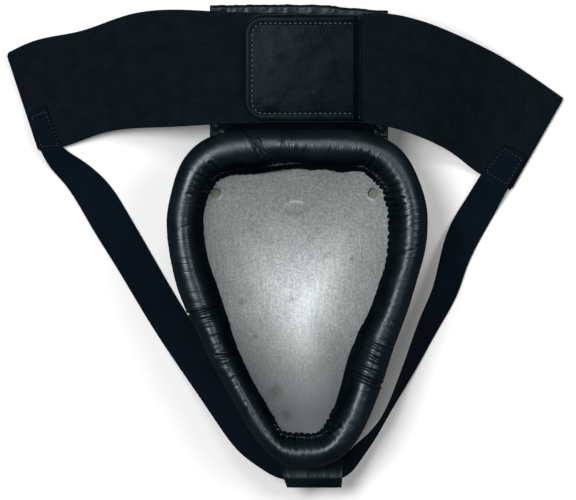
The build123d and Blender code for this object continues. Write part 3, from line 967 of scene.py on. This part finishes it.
def sheet_mesh(name, grid, thickness, material):
    """A sheet with rounded edges around a grid of points on its middle face."""
    normals = surface_normals(grid)
    half = thickness / 2
    rows_out = unit(grid[-1] - grid[-2])[None], unit(grid[0] - grid[1])[None]
    columns_out = (unit(grid[:, -1] - grid[:, -2])[:, None],
                   unit(grid[:, 0] - grid[:, 1])[:, None])
    upper, lower = grid + normals * half, grid - normals * half
    # each section runs over the upper face, round one edge, back under and round the other
    section = np.concatenate([
        upper, grid[:, -1:] + columns_out[0] * half,
        lower[:, ::-1], grid[:, :1] + columns_out[1] * half,
    ], 1)
    flat = np.concatenate([grid, grid[:, -1:], grid[:, ::-1], grid[:, :1]], 1)
    # the two ends are drawn together to a thin blunt edge
    first = 0.3 * section[:1] + 0.7 * flat[:1] + rows_out[1][:, :1] * half
    last = 0.3 * section[-1:] + 0.7 * flat[-1:] + rows_out[0][:, :1] * half
    section = np.concatenate([first, section, last], 0)
    along = lengths(section[:, grid.shape[1] // 2])
    across = lengths(section[section.shape[0] // 2])
    return grid_mesh(name, section, material, along, np.append(across, across[-1]),
                     loop_columns=True, caps=True)


PANEL = 1.2
PANEL_REACH = 1.2                 # how far the back layer runs on under the roll
PANEL_FRONT_ROWS, PANEL_TURN_ROWS, PANEL_BACK_ROWS = 50, 17, 180
panel_low, panel_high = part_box("waist_panel_front"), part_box("waist_panel_lining")
panel_sides = panel_low[0].x / MM, panel_low[1].x / MM
panel_top = panel_high[1].y / MM


def make_panel():
    """Leatherette folded over the top of the belt, with both layers going down to the cup."""
    x = np.linspace(*panel_sides, 220)
    front_height = panel_low[0].z / MM + PANEL / 2
    back_height = panel_high[1].z / MM - PANEL / 2
    radius = (back_height - front_height) / 2
    # the fold along the top falls towards both sides
    top = panel_top - PANEL / 2 - 3.6 * step(x, 8, 54) - 0.5 * step(-x, 20, 51)
    front_start, back_end = panel_low[0].y / MM, panel_high[0].y / MM - PANEL_REACH
    # both layers fall away towards the cup, except at their two sides
    middle = 1 - step(np.abs(x - 1.5), 36, 50)
    rows = []
    for share in np.linspace(0, 1, PANEL_FRONT_ROWS):
        y = front_start + share * (top - radius - front_start)
        drop = 3.0 * middle * step(-y, -108, -100)
        rows.append(np.stack([x, y, front_height - drop], 1))
    for angle in np.radians(np.linspace(-80, 80, PANEL_TURN_ROWS)):
        y = top - radius + radius * np.cos(angle)
        z = np.full_like(x, front_height + radius + radius * np.sin(angle))
        rows.append(np.stack([x, y, z], 1))
    for share in np.linspace(0, 1, PANEL_BACK_ROWS):
        y = top - radius + share * (back_end - top + radius)
        drop = 1.9 * step(-y, -108, -back_end) + 6.5 * middle * step(-y, -107.4, -98.5)
        rows.append(np.stack([x, y, back_height - drop], 1))
    grid = np.array(rows)
    normals = upward(surface_normals(grid), -PANEL_BACK_ROWS // 3, len(x) // 2)
    x, y, z = np.moveaxis(grid, -1, 0)
    strip = step(y, 170, 174) * step(z, front_height + 0.5, front_height + 2)
    crinkle = 0.35 * lumps(x / 4.5, y / 3.5, 51) + 0.22 * lumps(x / 1.8, y / 5, 52)
    on_back = np.arange(len(grid)) >= PANEL_FRONT_ROWS + PANEL_TURN_ROWS
    corner = step(-y, -108, -103) * step(np.abs(x - 1.5), 34, 44) * on_back[:, None]
    pleats = lumps(x / 1.9, y / 4, 53) + 0.5 * lumps(x / 0.9, y / 2, 54)
    grid = grid + normals * (strip * crinkle + corner * (0.3 + pleats * 0.8))[..., None]
    piece = sheet_mesh("waist_panel_sheet", grid, PANEL, flat_leather)
    return dress(piece, "root", "leatherette", "waist_panel_front", "waist_panel_lining")


# ---- The closure tab and its patches ----

tab_low, tab_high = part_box("closure_tab")
TAB_LEFT, TAB_TOP, TAB_BOTTOM = tab_low.x / MM, tab_high.y / MM, tab_low.y / MM
TAB_ROOT = tab_high.x / MM + 5.0  # the root runs on under the end of the right belt half
TAB_CORNER = 12.0
TAB_SEAM = 4.8                    # distance of the stitching from the edge
TAB_STITCH = 3.0                  # from the start of one stitch to the next
TAB_FALL = (20.0, 38.2)           # where the tab starts to go down, and where it is down
TAB_GROOVE = (33.8, 37.6)         # where the groove at the root goes down
TAB_RISE = (38.0, 41.4)           # and where it comes up again
TAB_CROWN = (1.5, 36.0, 33.0, 2.3)      # full middle: x, half width, half length and height
LINING = 0.6
LINING_EDGE = 0.4                 # how far the lining shows past the leather
LINING_GAP = 0.12                 # between the lining and the leather's edge above it
tab_height = tab_high.z / MM
ROOT_OVER_LINING = 2.0            # height of the leather's face over the lining at the root
tab_root_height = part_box("closure_tab_lining")[0].z / MM + ROOT_OVER_LINING


def tab_level(x):
    """Height of the tab's leather at a place along it."""
    return tab_height - (tab_height - tab_root_height) * step(x, *TAB_FALL)


def tab_edge(side):
    """The tab's lower or upper edge, rounded at the left corners."""
    straight = TAB_TOP if side > 0 else TAB_BOTTOM

    def edge(x):
        past = np.clip(TAB_LEFT + TAB_CORNER - x, 0, TAB_CORNER)
        round_off = TAB_CORNER - np.sqrt(TAB_CORNER ** 2 - past ** 2)
        bow = 0.35 * np.sin((x - TAB_LEFT) / 22) * (side > 0)
        return straight - side * round_off + bow
    return edge


def rounded_depth(left, right, low, high, corner):
    """Distance from the outline of a rectangle whose left corners are round."""
    def depth(x, y):
        middle, half = (low + high) / 2, (high - low) / 2
        from_side = half - np.abs(y - middle)
        from_left = x - left
        near = (from_side < corner) & (from_left < corner)
        round_off = corner - np.hypot(corner - from_side, corner - from_left)
        plain = np.minimum(np.minimum(from_side, from_left), right - x)
        return np.maximum(np.where(near, np.minimum(round_off, plain), plain), 0)
    return depth


def tab_top(x, y, depth):
    """The padded leather face: a rolled edge, a groove under the stitches and a full middle."""
    edge = np.sqrt(np.clip(1 - (1 - np.clip(depth / 1.5, 0, 1)) ** 2, 0, 1))
    swell = 0.22 * bell(depth, 2.3, 1.5) - 0.42 * bell(depth, TAB_SEAM, 0.65)
    crown_x, half_width, half_length, crown = TAB_CROWN
    middle = (((x - crown_x) / half_width) ** 2
              + ((y - (TAB_TOP + TAB_BOTTOM) / 2) / half_length) ** 2)
    full = crown * np.clip(1 - 0.7 * middle, 0, 1)
    full += 0.30 * lumps(x / 13, y / 12, 61) * step(depth, 3, 8)
    full += 0.09 * lumps(x / 4.5, y / 4.5, 62) * step(depth, 4, 7)
    crease = -2.3 * step(x, *TAB_GROOVE) + 1.9 * step(x, *TAB_RISE)
    curl = 1.3 * step(x, 24, 38) * step(y, TAB_TOP - 9, TAB_TOP)
    curl = curl + 0.5 * step(-x, 20, 31) * step(y, 150, 170)
    pucker = 0.12 * bell(depth, TAB_SEAM, 2.0) * np.sin(y * 2.4) * np.sin(x * 2.4)
    return tab_level(x) - 1.2 + 1.2 * edge + (swell + full + pucker) * edge + crease + curl


def tab_seam():
    """The line of stitching: in from the root at the top, round both corners, out at the foot."""
    radius = TAB_CORNER - TAB_SEAM
    corner_x = TAB_LEFT + TAB_CORNER
    line = []
    for side in (1, -1):
        edge_y = (TAB_TOP if side > 0 else TAB_BOTTOM) - side * TAB_SEAM
        run = [(x, edge_y) for x in np.linspace(TAB_GROOVE[0], corner_x, 60)]
        run += [(corner_x - radius * np.sin(a), edge_y - side * radius * (1 - np.cos(a)))
                for a in np.radians(np.linspace(5, 90, 14))]
        line += run if side > 0 else run[::-1]
    line = np.array(line)
    heights = tab_top(line[:, 0], line[:, 1], np.full(len(line), TAB_SEAM))
    return np.column_stack([line, heights])


def make_tab():
    """The leather of the tab, its lining, hook patch and stitches, with a root that goes down under
    the end of the right belt half.
    """
    left_columns = TAB_LEFT + TAB_CORNER * (1 - np.cos(np.linspace(0, np.pi / 2, 26)))
    xs = np.concatenate([left_columns[:-1], np.linspace(left_columns[-1], TAB_ROOT, 190)])
    depth = rounded_depth(TAB_LEFT, TAB_ROOT, TAB_BOTTOM, TAB_TOP, TAB_CORNER)

    def under(x, y, inside):
        return tab_top(x, y, 0 * inside) - 0.05 * step(inside, 0, 1)

    tab = pillow("closure_tab_leather", xs, tab_edge(-1), tab_edge(1), 230, depth, tab_top,
                 under, tab_leather)
    lining = pillow(
        "closure_tab_cloth_lining", xs,
        lambda x: tab_edge(-1)(x) - LINING_EDGE, lambda x: tab_edge(1)(x) + LINING_EDGE, 60, depth,
        lambda x, y, d: tab_top(x, y, 0 * d) - LINING_GAP,
        lambda x, y, d: tab_top(x, y, 0 * d) - LINING_GAP - LINING * step(d, 0, 1.0), lining_cloth,
    )
    hook_low, hook_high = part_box("hook_patch")
    hook = make_patch("hook_tape_patch", hook_low, hook_high, hook_plastic, -1)
    sewing = stitches("closure_tab_stitches", tab_seam(), TAB_STITCH, thread,
                      length=0.62, radius=0.42, sink=-0.08)
    for piece, slot, node in ((tab, "leatherette", "closure_tab"),
                              (lining, "tab_lining", "closure_tab_lining")):
        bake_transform(piece)
        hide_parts(node)
    dress(hook, "tab", "hook_tape", "hook_patch")
    dress(sewing, "tab", "sewing_thread")


def make_patch(name, low, high, material, side):
    """A rectangle of hook or loop tape with a flat selvage all round."""
    low, high = np.array(low) / MM, np.array(high) / MM
    depth = rounded_depth(low[0], high[0], low[1], high[1], 0.6)
    back, face = (low[2], high[2]) if side > 0 else (high[2], low[2])

    def nap(x, y, inside):
        rise = 0.35 + 0.65 * step(inside, 0.6, 2.2)
        rough = 0.14 * lumps(x / 0.9, y / 0.9, 71) * step(inside, 1.0, 2.4)
        return back + (face - back) * rise * step(inside, -0.01, 0.4) + side * np.minimum(rough, 0)

    def flat(x, y, inside):
        return np.full_like(x, back)

    top, bottom = (nap, flat) if side > 0 else (flat, nap)
    xs = np.linspace(low[0], high[0], 90)
    return pillow(name, xs, lambda x: np.full_like(x, low[1]),
                  lambda x: np.full_like(x, high[1]), 130, depth, top, bottom, material)


HOOK_PITCH = 1.5
HOOK_RADIUS = 0.14
HOOK_MARGIN = (2.6, 2.2)          # width of the patch's selvage at its low and at its high sides


def make_hooks():
    """Rows of small bent hooks under the hook tape."""
    low, high = (np.array(c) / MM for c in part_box("hook_patch"))
    bend = np.array([(0, 0.1), (0, -0.35), (0.12, -0.62), (0.42, -0.62), (0.5, -0.4)])
    ring = np.radians((45, 135, 225, 315))
    side = np.array((0.0, 1.0, 0.0))
    points, faces = [], []
    start, end = low + HOOK_MARGIN[0], high - HOOK_MARGIN[1]
    for i, x in enumerate(np.arange(start[0], end[0], HOOK_PITCH)):
        for y in np.arange(start[1] + 0.7 * (i % 2), end[1], HOOK_PITCH):
            height = low[2] + 0.35 + bend[:, 1] * 0.5
            spine = np.column_stack([x + bend[:, 0], np.full(len(bend), y), height])
            above = np.cross(unit(np.gradient(spine, axis=0)), side)
            tube = (spine[:, None] + HOOK_RADIUS * (side * np.cos(ring)[:, None])[None]
                    + HOOK_RADIUS * above[:, None] * np.sin(ring)[None, :, None])
            faces += tube_faces(tube, len(points))
            points.append(tube.reshape(-1, 3))
    dress(make_mesh("hook_tape_hooks", np.vstack(points), faces, hook_plastic), "tab", "hook_tape")


# ---- The leg straps and the sleeve ----

STRAP = 1.3
STRAP_STITCH = 2.2                # from the start of one stitch to the next
# Stations from the sewn end to the sleeve: outer edge x, y, z, then inner edge x, y, z
LEFT_STRAP = (
    (-161, 112, 4.5, -150, 117.5, 4.5), (-154, 91, 4.5, -140.5, 92.5, 4.5),
    (-148, 80, 1.5, -130, 85, 1.5), (-139, 69.5, 0, -117, 74.5, 0),
    (-122.5, 43, 0, -102.5, 54.5, 0), (-109.5, 22, 0, -90, 33, 0),
    (-87.5, -14.5, 0, -69, -3, 0), (-73, -36.5, 3, -55, -24.5, 4),
    (-58.5, -57.5, 10, -41.5, -44.5, 11), (-44.5, -78, 18, -28, -64.5, 19.5),
    (-33, -92, 22, -19.5, -76.5, 25), (-21.5, -100.5, 24, -14, -84.5, 28.2),
    (-11.5, -106, 26.1, -11.5, -90, 30.2), (1, -108.5, 25.4, 1, -89.6, 30.3),
)
RIGHT_STRAP = (
    (139, 86, 4.5, 124.5, 94, 4.5), (126.5, 65, 4.5, 110.5, 74.5, 4.5),
    (118.5, 50, 0.5, 102.5, 61.5, 1), (110.5, 36, 0, 95, 49.5, 0.5),
    (102.5, 20, 0, 88.5, 34.5, 5), (94.5, 0, 0, 81, 6, 15), (86, -15, 0, 75.5, -7, 17),
    (74, -36, 1, 65.5, -34, 20.5), (66, -49.5, 3, 61, -45.5, 23.5),
    (53.5, -70.5, 8, 51, -69.5, 29), (45.5, -84.5, 14, 41, -81.5, 34),
    (38, -95.5, 19, 34.5, -87, 35), (29.6, -105.5, 26.2, 29.6, -90.5, 30.1),
    (16, -108.5, 25.4, 16, -89.6, 30.3),
)
# Stitched lines of a sewn end: row and share of the width where each starts and where it ends
END_BOX = (
    ((3, 0.12), (3, 0.88)), ((22, 0.1), (22, 0.9)),
    ((3, 0.12), (22, 0.1)), ((3, 0.88), (22, 0.9)),
)


def make_strap(name, stations, node, seed):
    """A leg strap. Returns its rows of edge points for the stitching."""
    rows = smooth(stations, 260)
    rows[:, 2], rows[:, 5] = np.maximum(rows[:, 2], BELT_LIFT), np.maximum(rows[:, 5], BELT_LIFT)

    def wave(along, across):
        free = step(along, 0.14, 0.25) * step(-along, -0.85, -0.7)
        curl = 0.15 * np.abs(2 * across - 1) ** 3
        return free * (0.25 + 0.25 * lumps(along * 9, across, seed)) + curl

    piece = ribbon(name, rows[:, :3], rows[:, 3:], STRAP, leg_cloth, 34, wave)
    dress(piece, "root", "leg_elastic", node)
    return rows


def sewn_end(name, rows):
    """A box of stitching on the sewn end of a strap."""
    outer, inner = rows[:, :3], rows[:, 3:]
    at = np.linspace(0, 1, 24)[:, None]
    for k, ((i, across_i), (j, across_j)) in enumerate(END_BOX):
        begin = outer[i] + (inner[i] - outer[i]) * across_i
        finish = outer[j] + (inner[j] - outer[j]) * across_j
        path = begin + (finish - begin) * at + UP * (STRAP + 0.12)
        piece = stitches(f"{name}_{k + 1}", path, STRAP_STITCH, dark_thread,
                         length=0.7, radius=0.3, sink=0.05)
        dress(piece, "root", "sewing_thread")


SLEEVE_WIDTH, SLEEVE_THICKNESS, SLEEVE_WALL = 25.4, 6.4, 1.1
SLEEVE_TILT = 14.5                # degrees; the outer side hangs lower


def make_sleeve():
    """The flat leatherette tunnel that holds both straps, with a ridge and worn-in puckers."""
    low, high = (np.array(c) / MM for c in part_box("bottom_sleeve"))
    tilt = np.radians(SLEEVE_TILT)
    centre = (low + high) / 2
    turn = np.linspace(0, 2 * np.pi, 96, endpoint=False)

    def loop(inset):
        cos, sin = np.cos(turn), np.sin(turn)
        return np.stack([(SLEEVE_WIDTH / 2 - inset) * np.sign(cos) * np.abs(cos) ** 0.35,
                         (SLEEVE_THICKNESS / 2 - inset) * np.sign(sin) * np.abs(sin) ** 0.6], 1)

    def slant(share_along, across):
        lower = np.clip(9 - across, 0, None) ** 1.5 / 5
        return 0.26 * (1 - share_along) * lower - 0.06 * share_along * lower

    x = np.linspace(low[0], high[0], 120)
    shares = (x - low[0]) / (high[0] - low[0])
    outer, inner = loop(0), loop(SLEEVE_WALL)
    rows = []
    for place, share in zip(x, shares):
        section = outer.copy()
        across, top = section[:, 0], section[:, 1] > 0
        ridge = 1.0 * bell(across, -6.2, 1.5) - 0.9 * bell(across, -1.5, 2.6)
        puckers = 0.05 * lumps(share * 34, across / 9, 81) + 0.14 * lumps(share * 5, across / 5, 82)
        ends = 0.5 * (bell(share, 0.05, 0.02) + bell(share, 0.95, 0.02))
        relief = np.where(top, ridge + puckers - ends, 0.3 * puckers)
        section[:, 1] += relief * (0.5 if share in (0, 1) else 1)
        rows.append(np.column_stack([place + slant(share, across), section]))
    rows += [np.column_stack([place + slant(share, inner[:, 0]), inner])
             for place, share in zip(x[::-4], shares[::-4])]
    grid = np.array(rows)
    y, z = grid[..., 1].copy(), grid[..., 2].copy()
    grid[..., 1] = centre[1] + y * np.cos(tilt) - z * np.sin(tilt)
    grid[..., 2] = centre[2] + y * np.sin(tilt) + z * np.cos(tilt)
    along = np.append(lengths(grid[:, 0]), 0.0)
    across = lengths(grid[0], closed=True)
    piece = grid_mesh("bottom_sleeve_leather", grid, sleeve_leather, along, across, True, True)
    dress(piece, "root", "leatherette", "bottom_sleeve")


make_belt_front()
make_belt_backs()
make_panel()
make_tab()
make_hooks()
loop_low, loop_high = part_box("loop_patch")
dress(make_patch("loop_tape_patch", loop_low, loop_high, pile_cloth, 1),
      "left_belt_half", "loop_tape", "loop_patch")
left_rows = make_strap("leg_strap_left_elastic", LEFT_STRAP, "leg_strap_left", 91)
right_rows = make_strap("leg_strap_right_elastic", RIGHT_STRAP, "leg_strap_right", 92)
sewn_end("leg_strap_left_stitches", left_rows)
sewn_end("leg_strap_right_stitches", right_rows)
make_sleeve()


# ---- Camera, light and floor ----

VIEW_MIDDLE = (-4.8, 30.0)        # place of the plan in the middle of the view
VIEW_WIDTH = 345.6
VIEW_PLANE = 20.0                 # height at which the view is that wide
CAMERA_HEIGHT = 8000.0
SENSOR = 36.0
FLOOR_HALF = 25                   # metres


def make_camera():
    """A long lens straight above the part."""
    camera = bpy.data.objects.new("camera", bpy.data.cameras.new("camera"))
    camera.data.sensor_width = SENSOR
    camera.data.lens = SENSOR * (CAMERA_HEIGHT - VIEW_PLANE) / VIEW_WIDTH
    camera.data.clip_end = 2 * CAMERA_HEIGHT * MM
    camera.location = (VIEW_MIDDLE[0] * MM, VIEW_MIDDLE[1] * MM, CAMERA_HEIGHT * MM)
    bpy.context.scene.collection.objects.link(camera)
    bpy.context.scene.camera = camera


def make_sun(name, tilt, towards, size, strength):
    """A large soft lamp over the part: tilt from overhead, compass side and size in degrees."""
    lamp = bpy.data.objects.new(name, bpy.data.lights.new(name, "SUN"))
    lamp.data.energy, lamp.data.angle = strength, np.radians(size)
    lamp.rotation_euler = (0, np.radians(tilt), np.radians(towards))
    bpy.context.scene.collection.objects.link(lamp)


def make_floor():
    """A plain pale floor."""
    made, node, link, shader = material("pale_floor", (0.86, 0.86, 0.86), 0.9)
    tone = noise(node, coordinates(node), 900.0, 2.0)
    pale = between(node, spread(node, tone, 0, 1), (0.85, 0.85, 0.85), (0.88, 0.88, 0.88))
    link(pale, "Base Color")
    shader.inputs["Specular IOR Level"].default_value = 0.1
    shader.inputs["Emission Color"].default_value = (1, 1, 1, 1)
    shader.inputs["Emission Strength"].default_value = 0.12
    half = FLOOR_HALF / MM
    corners = [(-half, -half, 0), (half, -half, 0), (half, half, 0), (-half, half, 0)]
    floor = make_mesh("floor", corners, [(0, 1, 2, 3)], made)
    floor.location.z = -0.0001
    floor.visible_glossy = False      # or it would whiten the leather seen from the side


def light_scene():
    """Faint light from all round, and three large soft lamps."""
    world = bpy.data.worlds.new("studio")
    world.use_nodes = True
    background = world.node_tree.nodes["Background"]
    background.inputs["Color"].default_value = (0.86, 0.93, 1.0, 1)
    background.inputs["Strength"].default_value = 0.05
    bpy.context.scene.world = world
    make_sun("left_softbox", 22, 160, 22, 2.3)
    make_sun("right_softbox", 37, 24, 20, 0.8)
    make_sun("upper_softbox", 28, 92, 20, 0.6)
    bpy.context.scene.view_settings.view_transform = "Standard"


make_camera()
make_floor()
light_scene()
